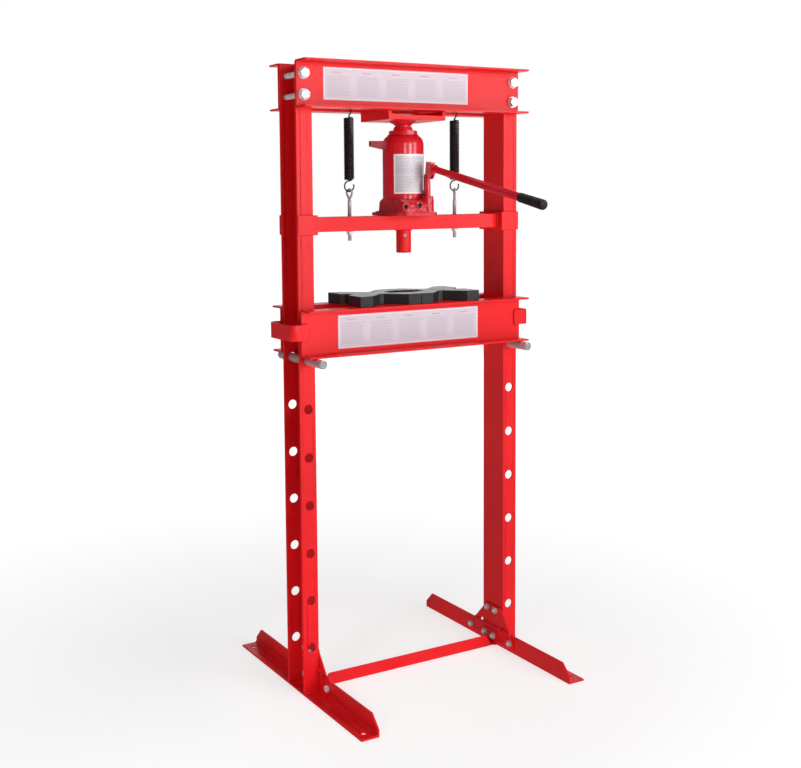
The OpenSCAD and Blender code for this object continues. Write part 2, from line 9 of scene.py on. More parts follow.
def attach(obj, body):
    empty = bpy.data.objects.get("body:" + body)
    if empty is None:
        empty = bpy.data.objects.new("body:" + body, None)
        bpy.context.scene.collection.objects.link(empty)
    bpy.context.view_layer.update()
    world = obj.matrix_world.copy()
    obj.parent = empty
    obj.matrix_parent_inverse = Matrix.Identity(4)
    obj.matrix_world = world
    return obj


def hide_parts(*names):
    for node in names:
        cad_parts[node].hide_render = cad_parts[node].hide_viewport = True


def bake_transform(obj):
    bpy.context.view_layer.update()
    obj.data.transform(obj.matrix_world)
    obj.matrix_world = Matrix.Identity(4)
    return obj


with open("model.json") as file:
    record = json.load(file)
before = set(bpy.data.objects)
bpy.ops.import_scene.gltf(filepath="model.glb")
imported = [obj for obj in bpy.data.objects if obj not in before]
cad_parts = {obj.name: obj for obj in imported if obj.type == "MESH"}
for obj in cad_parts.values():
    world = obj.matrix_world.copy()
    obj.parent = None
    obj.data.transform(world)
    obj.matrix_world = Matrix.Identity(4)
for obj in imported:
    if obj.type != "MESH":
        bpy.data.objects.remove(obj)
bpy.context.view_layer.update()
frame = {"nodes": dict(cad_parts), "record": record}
nodes = frame["nodes"]
MM = 0.001


# ---------------------------------------------------------------- materials


class Nodes:
    """Short hand for building a node material."""

    def __init__(self, name):
        self.mat = bpy.data.materials.new(name)
        self.mat.use_nodes = True
        self.tree = self.mat.node_tree
        self.shader = self.tree.nodes["Principled BSDF"]
        self.place = self.new("ShaderNodeTexCoord").outputs["Object"]

    def new(self, kind, **settings):
        n = self.tree.nodes.new(kind)
        for key, value in settings.items():
            setattr(n, key, value)
        return n

    def link(self, a, b):
        self.tree.links.new(a, b)

    def put(self, socket, value):
        self.shader.inputs[socket].default_value = value

    def noise(self, scale, detail=2.0, rough=0.5, stretch=None):
        n = self.new("ShaderNodeTexNoise")
        n.inputs["Scale"].default_value = scale
        n.inputs["Detail"].default_value = detail
        n.inputs["Roughness"].default_value = rough
        source = self.place
        if stretch:
            m = self.new("ShaderNodeMapping")
            m.inputs["Scale"].default_value = stretch
            self.link(source, m.inputs["Vector"])
            source = m.outputs["Vector"]
        self.link(source, n.inputs["Vector"])
        return n.outputs["Fac"]

    def ramp(self, value, low, high, a=0.0, b=1.0):
        r = self.new("ShaderNodeMapRange", clamp=True)
        for key, v in (("From Min", low), ("From Max", high), ("To Min", a), ("To Max", b)):
            r.inputs[key].default_value = v
        self.link(value, r.inputs["Value"])
        return r.outputs["Result"]

    def math(self, operation, a, b=0.0, clamp=False):
        m = self.new("ShaderNodeMath", operation=operation, use_clamp=clamp)
        for i, v in enumerate((a, b)):
            if isinstance(v, (int, float)):
                m.inputs[i].default_value = v
            else:
                self.link(v, m.inputs[i])
        return m.outputs[0]

    def mix(self, factor, a, b):
        m = self.new("ShaderNodeMix", data_type="RGBA")
        for key, v in ((0, factor), (6, a), (7, b)):
            if isinstance(v, tuple):
                m.inputs[key].default_value = (*v, 1)
            elif isinstance(v, (int, float)):
                m.inputs[key].default_value = v
            else:
                self.link(v, m.inputs[key])
        return m.outputs[2]

    def axis(self, name):
        s = self.new("ShaderNodeSeparateXYZ")
        self.link(self.place, s.inputs[0])
        return s.outputs[name]

    def up(self):
        """How far the surface faces upwards, 0 to 1."""
        g = self.new("ShaderNodeNewGeometry")
        s = self.new("ShaderNodeSeparateXYZ")
        self.link(g.outputs["Normal"], s.inputs[0])
        return self.math("MAXIMUM", s.outputs["Z"], 0.0)

    def color(self, value):
        if isinstance(value, tuple):
            self.shader.inputs["Base Color"].default_value = (*value, 1)
        else:
            self.link(value, self.shader.inputs["Base Color"])

    def rough(self, value):
        self.link(value, self.shader.inputs["Roughness"])

    def bump(self, height, distance, strength=1.0):
        b = self.new("ShaderNodeBump")
        b.inputs["Distance"].default_value = distance
        b.inputs["Strength"].default_value = strength
        self.link(height, b.inputs["Height"])
        self.link(b.outputs["Normal"], self.shader.inputs["Normal"])


RED = (0.82, 0.0095, 0.0145)
CRIMSON = (0.70, 0.010, 0.024)


def powder_red(name, tone, peel, gloss, shine, coat, coat_rough=0.1, lump=0.0006):
    """Powder coat: orange peel, slight change of shade, a little dust on what faces up."""
    m = Nodes(name)
    shade = m.noise(5.5, 3)
    base = m.mix(m.ramp(shade, 0.35, 0.68), tuple(0.88 * t for t in tone), tone)
    fine = m.noise(330, 2)
    base = m.mix(m.ramp(fine, 0.58, 0.8, 0, 0.2), base, (0.84, 0.024, 0.03))
    dust = m.math("MULTIPLY", m.up(), m.ramp(m.noise(42, 4, 0.65), 0.5, 0.85, 0, 0.14))
    m.color(m.mix(dust, base, (0.62, 0.20, 0.19)))
    wear = m.noise(26, 4, 0.6)
    m.rough(m.ramp(wear, 0.3, 0.75, gloss, gloss + 0.12))
    m.bump(m.noise(peel, 1.5), lump, 0.3)
    m.put("Specular IOR Level", shine)
    m.put("Coat Weight", coat)
    m.put("Coat Roughness", coat_rough)
    return m.mat


def plated(name, tone, rough_low, rough_high, grain=None, metal=1.0):
    """Zinc or ground steel: soft cloudiness and, where asked for, drawn grain."""
    m = Nodes(name)
    cloud = m.noise(60, 4, 0.6)
    dark = tuple(0.72 * t for t in tone)
    m.color(m.mix(m.ramp(cloud, 0.3, 0.75), dark, tone))
    m.rough(m.ramp(m.noise(150, 3, 0.6, grain), 0.3, 0.7, rough_low, rough_high))
    m.put("Metallic", metal)
    m.bump(m.noise(420, 2, 0.5, grain), 0.0002, 0.15)
    return m.mat


def rubber(name, tone, rough):
    m = Nodes(name)
    m.color(m.mix(m.ramp(m.noise(70, 3), 0.35, 0.7), tone, tuple(t * 1.9 + 0.004 for t in tone)))
    m.rough(m.ramp(m.noise(240, 3), 0.3, 0.7, rough, rough + 0.18))
    m.bump(m.noise(900, 2), 0.0003, 0.3)
    m.put("Specular IOR Level", 0.35)
    return m.mat


def black_paint(name, tone, gloss, coat=0.25):
    m = Nodes(name)
    # painted sheen: patches of lighter grey on what faces up stand for the sheen of the black paint
    painted_top_sheen = m.ramp(m.noise(38, 5, 0.7), 0.56, 0.72, 0, 0.55)
    painted_top_sheen = m.math("MULTIPLY", painted_top_sheen, m.up())
    m.color(m.mix(painted_top_sheen, tone, (0.075, 0.077, 0.085)))
    m.rough(m.ramp(m.noise(24, 4, 0.6), 0.3, 0.75, gloss, gloss + 0.2))
    m.bump(m.noise(260, 3, 0.6), 0.0007, 0.4)
    m.put("Coat Weight", coat)
    m.put("Coat Roughness", 0.2)
    return m.mat


def film(name, tone, faint):
    """Printed film: faint mottling and a soft shine."""
    m = Nodes(name)
    m.color(m.mix(m.ramp(m.noise(32, 3), 0.35, 0.7), tone, faint))
    m.rough(m.ramp(m.noise(90, 2), 0.3, 0.7, 0.3, 0.44))
    m.bump(m.noise(500, 2), 0.0001, 0.2)
    return m.mat


def piston_mat():
    """Ground steel whose end is oversprayed with the red of the jack."""
    m = Nodes("piston_steel_red_end")
    edge = m.math("ADD", m.axis("Z"), m.math("MULTIPLY", m.noise(180, 3), 0.0012))
    red = m.ramp(edge, 1.1676, 1.1679)
    steel = m.mix(m.noise(120, 3, 0.5, (1, 1, 14)), (0.42, 0.43, 0.45), (0.6, 0.61, 0.63))
    m.color(m.mix(red, steel, CRIMSON))
    m.link(m.math("SUBTRACT", 1.0, red), m.shader.inputs["Metallic"])
    m.rough(m.ramp(m.noise(90, 3), 0.3, 0.7, 0.16, 0.3))
    m.bump(m.noise(700, 2), 0.0002, 0.15)
    return m.mat


MAT = {
    "frame_red": powder_red("powder_red", RED, 620, 0.3, 0.25, 0.02),
    "jack_red": powder_red("jack_red", CRIMSON, 420, 0.17, 0.5, 0.4, 0.05),
    "cast_red": powder_red("cast_red", (0.60, 0.009, 0.022), 95, 0.2, 0.5, 0.4, 0.08, 0.009),
    # painted shade: a dark copy of the jack red for the carry lug, standing for the shade it sits in
    "painted_shade_red": powder_red("painted_shade_red", (0.28, 0.008, 0.018), 420, 0.3, 0.3, 0.1),
    "zinc": plated("zinc_plate", (0.90, 0.91, 0.93), 0.2, 0.34, None, 0.32),
    "nut_zinc": plated("nut_zinc", (0.86, 0.87, 0.89), 0.12, 0.28, None, 0.62),
    "wire_zinc": plated("wire_zinc", (0.50, 0.51, 0.53), 0.26, 0.4, None, 0.3),
    "dark_steel": plated("dark_steel", (0.035, 0.012, 0.016), 0.3, 0.5, None, 0.2),
    "pin": plated("pin_zinc", (0.80, 0.79, 0.81), 0.14, 0.28, (1, 18, 1), 0.66),
    "steel": plated("ground_steel", (0.56, 0.57, 0.60), 0.22, 0.4, (1, 1, 12)),
    "spring": black_paint("spring_black", (0.006, 0.006, 0.007), 0.36, 0.05),
    "plate": black_paint("plate_black", (0.018, 0.018, 0.022), 0.26),
    "grip": rubber("grip_rubber", (0.010, 0.010, 0.011), 0.42),
    "seal": rubber("seal_rubber", (0.02, 0.02, 0.02), 0.5),
    "film": film("label_film", (0.60, 0.56, 0.62), (0.57, 0.53, 0.59)),
    "jack_film": film("jack_label_film", (0.56, 0.54, 0.56), (0.66, 0.64, 0.66)),
    "ink": film("label_ink", (0.42, 0.37, 0.46), (0.50, 0.45, 0.53)),
    "frame_line": film("label_edge", (0.80, 0.74, 0.79), (0.77, 0.71, 0.76)),
    "white_line": film("label_white_edge", (0.90, 0.84, 0.87), (0.86, 0.80, 0.84)),
    "piston": piston_mat(),
}
JACK_RED = [
    "jack_tank", "jack_top_nut", "saddle", "pump_plunger", "pump_link",
    "handle_socket", "handle_bar", "link_pins", "plunger_pin",
]
BY_SLOT = {
    "red_paint": "frame_red", "zinc": "zinc", "steel": "steel", "black_spring": "spring",
    "black_plate": "plate", "label_film": "film", "seal_rubber": "seal", "grip_rubber": "grip",
}
# nodes that differ from the rest of their slot
BY_NODE = {
    "bed_pin_left": "pin", "bed_pin_right": "pin", "jack_label": "jack_film",
    "jack_piston": "piston", "release_valve": "dark_steel", "relief_plug": "dark_steel",
    # the carry lug takes the darker red, a painted shade
    "jack_base": "cast_red", "carry_lug": "painted_shade_red",
    **{name: "jack_red" for name in JACK_RED},
}
for part in frame["record"]["subparts"]:
    kind = BY_NODE.get(part["node"], BY_SLOT[part["material_slot"]])
    cad = nodes[part["node"]]
    cad.data.materials.clear()
    cad.data.materials.append(MAT[kind])


# ---------------------------------------------------------------- rounded edges

SOFT_EDGES = {
    "post_left": 0.9, "post_right": 0.9, "top_beam_front": 0.9, "top_beam_rear": 0.9,
    "head_plate": 1.0, "foot_left": 0.8, "foot_right": 0.8, "gusset_left": 0.7,
    "gusset_right": 0.7, "tie_bar": 0.7, "bed_beam_front": 0.9, "bed_beam_rear": 0.9,
    "bed_strap_left": 0.8, "bed_strap_right": 0.8, "press_plate_left": 1.0,
    "press_plate_right": 1.0, "crossbeam": 0.9, "collar_left": 0.8, "collar_right": 0.8,
    "jack_base": 1.2, "jack_top_nut": 0.8, "carry_lug": 1.0, "handle_socket": 0.9, "saddle": 0.7,
    "ram": 0.5, "pump_link": 0.5,
}
for name, width in SOFT_EDGES.items():
    cad = nodes[name]
    weld = cad.modifiers.new("weld", "WELD")
    weld.merge_threshold = 0.00001
    if name.startswith("top_beam"):
        flat = cad.modifiers.new("one_face", "DECIMATE")
        flat.decimate_type = "DISSOLVE"
        flat.angle_limit = math.radians(0.5)
    bevel = cad.modifiers.new("round_edges", "BEVEL")
    bevel.width = width * MM
    bevel.segments = 2
    bevel.limit_method = "ANGLE"
    bevel.angle_limit = math.radians(38)
    bevel.harden_normals = False


# ---------------------------------------------------------------- piece helpers


def piece(name, mesh, body, mat, smooth=True):
    """A finished mesh, in the row frame, that rides on a CAD body."""
    o = bpy.data.objects.new(name, mesh)
    bpy.context.scene.collection.objects.link(o)
    mesh.materials.clear()
    for m in mat if isinstance(mat, list) else [mat]:
        mesh.materials.append(MAT[m])
    if smooth:
        for p in mesh.polygons:
            p.use_smooth = True
    if body:
        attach(o, body)
    return o


def mesh_from(name, verts, faces):
    me = bpy.data.meshes.new(name)
    me.from_pydata([Vector(v) * MM for v in verts], [], faces)
    me.update()
    return me


def joined(name, parts):
    """One mesh out of (verts, faces) lists."""
    verts, faces = [], []
    for v, f in parts:
        n = len(verts)
        verts += v
        faces += [[i + n for i in face] for face in f]
    return mesh_from(name, verts, faces)


def tube(path, radius, sides=10, closed=False, cap=True):
    """Round tube along a list of points; radius is a number or one per point."""
    path = [Vector(p) for p in path]
    n = len(path)
    radii = radius if isinstance(radius, list) else [radius] * n
    verts, faces = [], []
    normal = None
    for i, p in enumerate(path):
        ahead = path[(i + 1) % n] if closed or i + 1 < n else p
        back = path[i - 1] if closed or i else p
        t = (ahead - back).normalized()
        if normal is None:
            normal = t.orthogonal().normalized()
        normal = (normal - t * normal.dot(t)).normalized()
        side = t.cross(normal)
        for k in range(sides):
            a = 2 * math.pi * k / sides
            verts.append(p + (normal * math.cos(a) + side * math.sin(a)) * radii[i])
    rings = n if closed else n - 1
    for i in range(rings):
        j = (i + 1) % n
        for k in range(sides):
            m = (k + 1) % sides
            faces.append([i * sides + k, i * sides + m, j * sides + m, j * sides + k])
    if cap and not closed:
        faces.append(list(range(sides))[::-1])
        faces.append([(n - 1) * sides + k for k in range(sides)])
    return verts, faces


def lathe(profile, at, axis, steps=48):
    """Profile of (radius, height) turned round an axis through the point at."""
    at, axis = Vector(at), Vector(axis).normalized()
    u = axis.orthogonal().normalized()
    w = axis.cross(u)
    verts, faces = [], []
    for r, h in profile:
        for k in range(steps):
            a = 2 * math.pi * k / steps
            verts.append(at + axis * h + (u * math.cos(a) + w * math.sin(a)) * max(r, 0.001))
    for i in range(len(profile) - 1):
        for k in range(steps):
            m = (k + 1) % steps
            faces.append([i * steps + k, i * steps + m, (i + 1) * steps + m, (i + 1) * steps + k])
    return verts, faces


def hex_solid(at, axis, flats, height, turn=0.0, both=False, bore=0.0):
    """Hexagon head or nut with the turned chamfer that real ones have."""
    at, axis = Vector(at), Vector(axis).normalized()
    u = axis.orthogonal().normalized()
    u.rotate(Matrix.Rotation(turn, 3, axis))
    w = axis.cross(u)
    steps = 48
    flat_r = flats / 2 * 0.96

    def hex_r(a):
        return flats / 2 / math.cos((a + math.pi / 6) % (math.pi / 3) - math.pi / 6)

    rings = []
    for level in range(6):
        ring = []
        for k in range(steps):
            a = 2 * math.pi * k / steps
            r = hex_r(a)
            drop = max(0.0, r - flat_r) * 0.5
            if level == 0:
                rr, h = (flat_r, 0.0) if both else (r - 0.3, 0.0)
            elif level == 1:
                rr, h = r, (drop if both else 0.3)
            elif level == 2:
                rr, h = r, height - drop
            elif level == 3:
                rr, h = flat_r, height
            elif level == 4:
                rr, h = (bore + 0.8 if bore else flat_r * 0.9), height
            else:
                rr, h = (bore if bore else 0.01), height - (0.8 if bore else 0.25)
            ring.append(at + axis * h + (u * math.cos(a) + w * math.sin(a)) * rr)
        rings.append(ring)
    verts = [v for ring in rings for v in ring]
    faces = []
    for i in range(5):
        for k in range(steps):
            m = (k + 1) % steps
            faces.append([i * steps + k, i * steps + m, (i + 1) * steps + m, (i + 1) * steps + k])
    faces.append(list(range(steps))[::-1])
    if not bore:
        faces.append([5 * steps + k for k in range(steps)])
    return verts, faces


def thread(at, axis, diameter, length, pitch, steps=28):
    """Threaded rod: the surface follows a helix, and the far end is chamfered."""
    at, axis = Vector(at), Vector(axis).normalized()
    u = axis.orthogonal().normalized()
    w = axis.cross(u)
    rows = int(length / pitch * 6)
    depth = 0.5 * pitch
    verts, faces = [], []
    for i in range(rows + 1):
        h = length * i / rows
        for k in range(steps):
            a = 2 * math.pi * k / steps
            phase = (h / pitch - k / steps) % 1.0
            r = diameter / 2 - depth * (1 - abs(2 * phase - 1))
            r = min(r, diameter / 2 - depth * 1.3 + max(0.0, length - h) * 0.9)
            verts.append(at + axis * h + (u * math.cos(a) + w * math.sin(a)) * r)
    for i in range(rows):
        for k in range(steps):
            m = (k + 1) % steps
            faces.append([i * steps + k, i * steps + m, (i + 1) * steps + m, (i + 1) * steps + k])
    faces.append([rows * steps + k for k in range(steps)])
    faces.append(list(range(steps))[::-1])
    return verts, faces


def weld_bead(path, radius, seed=1.0):
    """A rippled weld run along a line of points."""
    points = [Vector(p) for p in path]
    dense = []
    for a, b in zip(points, points[1:]):
        n = max(2, int((b - a).length / 0.8))
        dense += [a.lerp(b, i / n) for i in range(n)]
    dense.append(points[-1])
    radii = []
    for i in range(len(dense)):
        ripple = 0.10 * math.sin(i * 1.57) + 0.07 * math.sin(i * 0.31 + seed)
        ripple += 0.05 * math.sin(i * 0.83 * seed)
        ends = min(1.0, 0.45 + 0.2 * min(i, len(dense) - 1 - i))
        radii.append(radius * (1 + ripple) * ends)
    return tube(dense, radii, 8)


def ring_points(centre, radius, z, a0=0.0, a1=360.0, step=5.0):
    n = max(3, int((a1 - a0) / step))
    return [
        (centre[0] + radius * math.cos(math.radians(a0 + (a1 - a0) * i / n)),
         centre[1] + radius * math.sin(math.radians(a0 + (a1 - a0) * i / n)), z)
        for i in range(n + 1)
    ]


# ---------------------------------------------------------------- springs

SPRING_X = 132.0
WIRE = 3.0
COIL_R = 9.25
COIL_TOP, COIL_END = 1191.5, 1064.5
ROD_Z = 1213.0
EYE_Z = 1037.5


def spring_path(x):
    """Top hook over the rod, close coils, then the open lower hook."""
    path = []
    for i in range(25):
        a = math.radians(250 - 250 * i / 24)
        path.append((x + 5.6 * math.cos(a), 0, ROD_Z + 0.2 + 5.6 * math.sin(a)))
    for dx, y, z in ((5.4, 0, 1207), (4.4, 0.2, 1201), (2.6, 1.0, 1197.4), (2.2, 4.0, 1195.4),
                     (5.0, 6.6, 1193.9), (8.0, 4.2, 1192.6)):
        path.append((x + dx, y, z))
    turns = 40
    per = 20
    for i in range(turns * per + 1):
        a = 2 * math.pi * i / per
        z = COIL_TOP - (COIL_TOP - COIL_END) * i / (turns * per)
        grow = min(1.0, 0.9 + i * 0.02, 0.75 + (turns * per - i) * 0.05)
        path.append((x + COIL_R * grow * math.cos(a), -COIL_R * grow * math.sin(a), z))
    path.append((x + 5.0, 1.5, 1063.2))
    path.append((x + 1.5, 1.0, 1062.6))
    for i in range(25):
        a = math.radians(88 + 292 * i / 24)
        path.append((x + 11 * math.cos(a), 0.4, 1051.4 - 0.4 + 11 * math.sin(a)))
    return path


for side, x in (("left", -SPRING_X), ("right", SPRING_X)):
    v, f = tube(spring_path(x), WIRE / 2, 9)
    coil = piece(f"coil_{side}", mesh_from(f"coil_{side}", v, f), None, "spring")
    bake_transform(coil)
    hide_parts(f"spring_{side}")


# ---------------------------------------------------------------- eye bolts

BAR_Z = 958.5


def eye_bolt(x, turn):
    """Bent wire eye, drawn out to a drop, on a shank threaded at its lower end."""
    c, s = math.cos(math.radians(turn)), math.sin(math.radians(turn))

    def at(across, z):
        return (x + across * c, across * s, z)

    loop = [(x, 0, 1018), at(0.4, 1021), at(1.5, 1025.5)]
    for i in range(33):
        a = math.radians(-32 + 244 * i / 32)
        loop.append(at(6.7 * math.cos(a), EYE_Z + 6.7 * math.sin(a)))
    loop += [at(-1.5, 1025.5), at(-0.4, 1021), (x, 0, 1018)]
    wire = tube(loop, [3.4, 2.9, 2.35] + [2.25] * 33 + [2.35, 2.9, 3.4], 12)
    lower = thread((x, 0, 986), (0, 0, -1), 8, 48, 1.25)
    upper = tube([(x, 0, 985.5), (x, 0, 1016), (x, 0, 1022), (x, 0, 1024)], [3.9, 3.9, 3.5, 2.4], 24)
    return [wire, lower, upper]


for side, x, turn in (("left", -SPRING_X, -63), ("right", SPRING_X, 62)):
    bolt = joined(f"eyebolt_{side}", eye_bolt(x, turn))
    o = piece(f"eyebolt_{side}", bolt, "crosshead", "wire_zinc")
    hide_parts(f"eye_bolt_{side}")
nuts = []
for x in (-SPRING_X, SPRING_X):
    nuts.append(hex_solid((x, 0, BAR_Z - 1.6), (0, 0, -1), 13, 5.4, 0.3, True, 4.02))
    nuts.append(lathe([(4.3, 0), (8, 0), (8, -1.3), (7.8, -1.5), (4.3, -1.5)], (x, 0, BAR_Z), (0, 0, 1)))
o = piece("eyebolt_nuts", joined("eyebolt_nuts", nuts), "crosshead", "zinc", smooth=False)
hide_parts("eye_bolt_nuts")


# ---------------------------------------------------------------- frame bolts

TOP_BOLT_X = 257
TOP_BOLT_Z = (1232, 1274)
BEAM_FACE = 42
HEAD_WASHER = [(6.2, -0.1), (11.9, -0.1), (12.0, -1.6), (11.6, -2.0), (6.2, -2.0)]
NUT_WASHER = [(6.2, 2.0), (11.6, 2.0), (12.0, 1.6), (11.9, 0.1), (6.2, 0.1)]
heads, ends = [], []
turns = [0.1, 0.5, 0.85, 0.3]
for i, (x, z) in enumerate((x, z) for x in (-TOP_BOLT_X, TOP_BOLT_X) for z in TOP_BOLT_Z):
    heads.append(hex_solid((x, -43.9, z), (0, -1, 0), 19, 7.5, turns[i]))
    heads.append(lathe(HEAD_WASHER, (x, -BEAM_FACE, z), (0, 1, 0)))
    heads.append(tube([(x, -BEAM_FACE, z), (x, BEAM_FACE, z)], 5.95, 32))
    ends.append(lathe(NUT_WASHER, (x, BEAM_FACE, z), (0, 1, 0)))
    ends.append(hex_solid((x, 44.1, z), (0, 1, 0), 19, 9.8, turns[3 - i], True, 6.1))
    heads.append(thread((x, 41.5, z), (0, 1, 0), 12, 16.3, 1.75))
o = piece("corner_bolts", joined("corner_bolts", heads), "frame", "zinc", smooth=False)
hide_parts("top_bolts")
o = piece("corner_nuts", joined("corner_nuts", ends), "frame", "zinc", smooth=False)
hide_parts("top_nuts", "top_washers")

# bolts through the feet: y, z, face under the nut, face under the head
FOOT_BOLTS = [(15, 80, 233.5, 241), (16, 22, 226.5, 241), (74, 22, 229.5, 237)]
M8, M8_FLATS, M8_PITCH = 8, 13, 1.25
bolts, nuts = [], []
for s in (-1, 1):
    for n, (y0, z, inner, outer) in enumerate(FOOT_BOLTS):
        for y in (-y0, y0):
            turn = 0.4 * n + 0.02 * y
            bolts.append(hex_solid((s * (outer + 0.05), y, z), (s, 0, 0), M8_FLATS, 5.2, turn))
            bolts.append(tube([(s * inner, y, z), (s * outer, y, z)], 3.95, 24))
            bolts.append(thread((s * (inner + 0.5), y, z), (-s, 0, 0), M8, 8.9, M8_PITCH))
            under = (s * (inner - 0.05), y, z)
            nuts.append(hex_solid(under, (-s, 0, 0), M8_FLATS, 6.4, turn + 0.5, True, 4.1))
o = piece("foot_bolts", joined("foot_bolts", bolts), "frame", "zinc", smooth=False)
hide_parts("base_bolts")
o = piece("foot_nuts", joined("foot_nuts", nuts), "frame", "nut_zinc", smooth=False)
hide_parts("base_nuts")


# ---------------------------------------------------------------- weld runs

frame_welds, bed_welds, cross_welds = [], [], []
for s in (-1, 1):
    # posts on the feet and the pads of the head plate under the beams
    frame_welds.append(weld_bead([(s * 243, -39.2, 5.0), (s * 270, -39.2, 5.0)], 2.2, s + 2.3))
    frame_welds.append(weld_bead([(s * 243, 39.2, 5.0), (s * 270, 39.2, 5.0)], 2.2, s + 3.1))
    for y in (-1, 1):
        frame_welds.append(weld_bead([(s * 71, y * 44, 1205), (s * 71, y * 57, 1205)], 1.9, s + y + 2.6))
    frame_welds.append(weld_bead([(s * 226, -26, 3), (s * 226, 26, 3)], 1.4, s + 1.9))
    # guide straps on the bed channels
    for y in (-1, 1):
        edge = [(s * 257.6, y * 49.5, 743), (s * 257.6, y * 49.5, 773.5)]
        bed_welds.append(weld_bead(edge, 2.1, s + y + 2.2))
        for z in (741.2, 775.2):
            bed_welds.append(weld_bead([(s * 259, y * 49.4, z), (s * 271, y * 49.4, z)], 1.7, s + z))
    # crossbeam to its collars
    for y in (-1, 1):
        edge = [(s * 228.2, y * 25.6, 960), (s * 228.2, y * 25.6, 987)]
        cross_welds.append(weld_bead(edge, 2.0, s + y + 3.3))
    for z in (958.2, 988.8):
        cross_welds.append(weld_bead([(s * 228.2, -24, z), (s * 228.2, 24, z)], 2.0, s + z * 0.01))
cross_welds.append(weld_bead(ring_points((0, 0), 16.4, BAR_Z - 0.4), 2.0, 1.4))
for name, runs, body in (
    ("welds_frame", frame_welds, "frame"),
    ("welds_bed", bed_welds, "bed"),
    ("welds_crosshead", cross_welds, "crosshead"),
):
    piece(name, joined(name, runs), body, "frame_red")


FOOT_LEG_X = 237        # inside face of the upright leg
FOOT_LEG_T = 4


def corner_fillet(s, y0, y1, r=5.0):
    """Rolled inner corner of a foot angle, between its two legs."""
    section = [(FOOT_LEG_X - 0.1, FOOT_LEG_T - 0.1)]
    for i in range(9):
        a = math.radians(180 + 90 * i / 8)
        section.append((FOOT_LEG_X + r + r * math.cos(a), FOOT_LEG_T + r + r * math.sin(a)))
    n = len(section)
    verts = [(s * x, y, z) for y in (y0, y1) for x, z in section]
    faces = [[k, (k + 1) % n, n + (k + 1) % n, n + k] for k in range(n)]
    faces += [list(range(n))[::-1], [n + k for k in range(n)]]
    return verts, faces


FOOT_END, POST_SIDE = 274.8, 38.2
runs = ((-FOOT_END, -POST_SIDE), (POST_SIDE, FOOT_END))
fillets = [corner_fillet(s, *y) for s in (-1, 1) for y in runs]
piece("foot_fillets", joined("foot_fillets", fillets), "frame", "frame_red", False)
seams = [
    weld_bead(ring_points((0, 0), 44.3, 1023.8), 1.0, 2.2),
    weld_bead([(-43.2, -4.6, 1127), (-43.2, -4.6, 1145)], 1.2, 1.3),
    weld_bead([(-43.2, 4.6, 1127), (-43.2, 4.6, 1145)], 1.2, 2.3),
]
piece("jack_seams", joined("jack_seams", seams), "crosshead", "jack_red")


# ---------------------------------------------------------------- labels


def bar(x0, x1, z0, z1, y, deep=0.12):
    """Thin raised bar on a front face at y."""
    v = [(x, yy, z) for yy in (y, y - deep) for z in (z0, z1) for x in (x0, x1)]
    f = [[4, 5, 7, 6], [0, 2, 3, 1], [0, 1, 5, 4], [2, 6, 7, 3], [0, 4, 6, 2], [1, 3, 7, 5]]
    return v, f


def ruled_label(x0, x1, z0, z1, y, columns):
    """Plain ruled lines in columns, each under a short heading bar, and a pale edge line."""
    lines, edge = [], []
    step = (x1 - x0) / columns
    for c in range(columns):
        left = x0 + c * step + 7
        right = x0 + (c + 1) * step - 5
        lines.append(bar(left + 12, left + 34, z1 - 11.5, z1 - 8.5, y))
        z = z1 - 17
        k = 0
        while z > z0 + 9:
            short = 9 * abs(math.sin(1.7 * k + 2.3 * c))
            lines.append(bar(left, right - short, z - 1.3, z, y))
            z -= 3.4
            k += 1
    for a in ((x0 + 2, x1 - 2, z0 + 2, z0 + 3.4), (x0 + 2, x1 - 2, z1 - 3.4, z1 - 2),
              (x0 + 2, x0 + 3.4, z0 + 3.4, z1 - 3.4), (x1 - 3.4, x1 - 2, z0 + 3.4, z1 - 3.4)):
        edge.append(bar(*a, y))
    return lines, edge


for name, body, args in (
    ("top", "frame", (-213, 138, 1223, 1288, -42.28, 5)),
    ("bed", "bed", (-189, 159, 719.95, 788.95, -48.78, 5)),
):
    lines, edge = ruled_label(*args)
    piece(f"{name}_label_lines", joined(f"{name}_lines", lines), body, "ink", False)
    piece(f"{name}_label_edge", joined(f"{name}_edge", edge), body, "frame_line", False)


def curved_bar(a0, a1, z0, z1, r0=44.3, r1=44.6):
    """Thin raised bar bent round the tank, between two angles in degrees from the front."""
    n = max(2, int(abs(a1 - a0) / 4))
    verts, faces = [], []
    for i in range(n + 1):
        a = math.radians(a0 + (a1 - a0) * i / n - 90)
        for r, z in ((r0, z0), (r1, z0), (r1, z1), (r0, z1)):
            verts.append((r * math.cos(a), r * math.sin(a), z))
    for i in range(n):
        for k in range(4):
            m = (k + 1) % 4
            faces.append([i * 4 + k, (i + 1) * 4 + k, (i + 1) * 4 + m, i * 4 + m])
    faces += [[0, 1, 2, 3], [4 * n + 3, 4 * n + 2, 4 * n + 1, 4 * n]]
    return verts, faces


lines, edge = [], []
for c in range(2):
    a0 = -50 + c * 52
    z = 1108
    k = 0
    while z > 1046:
        lines.append(curved_bar(a0, a0 + 46 - 8 * abs(math.sin(1.9 * k + c)), z - 1.2, z, 44.3, 44.42))
        z -= 4.4 if k % 6 else 7.5
        k += 1
for a in ((-58, 58, 1034.5, 1037.7), (-58, 58, 1113.8, 1117), (-58, -54, 1037.7, 1113.8),
          (54, 58, 1037.7, 1113.8)):
    edge.append(curved_bar(*a))
piece("jack_label_lines", joined("jack_lines", lines), "crosshead", "ink", False)
piece("jack_label_edge", joined("jack_edge", edge), "crosshead", "white_line", False)


# ---------------------------------------------------------------- handle grip

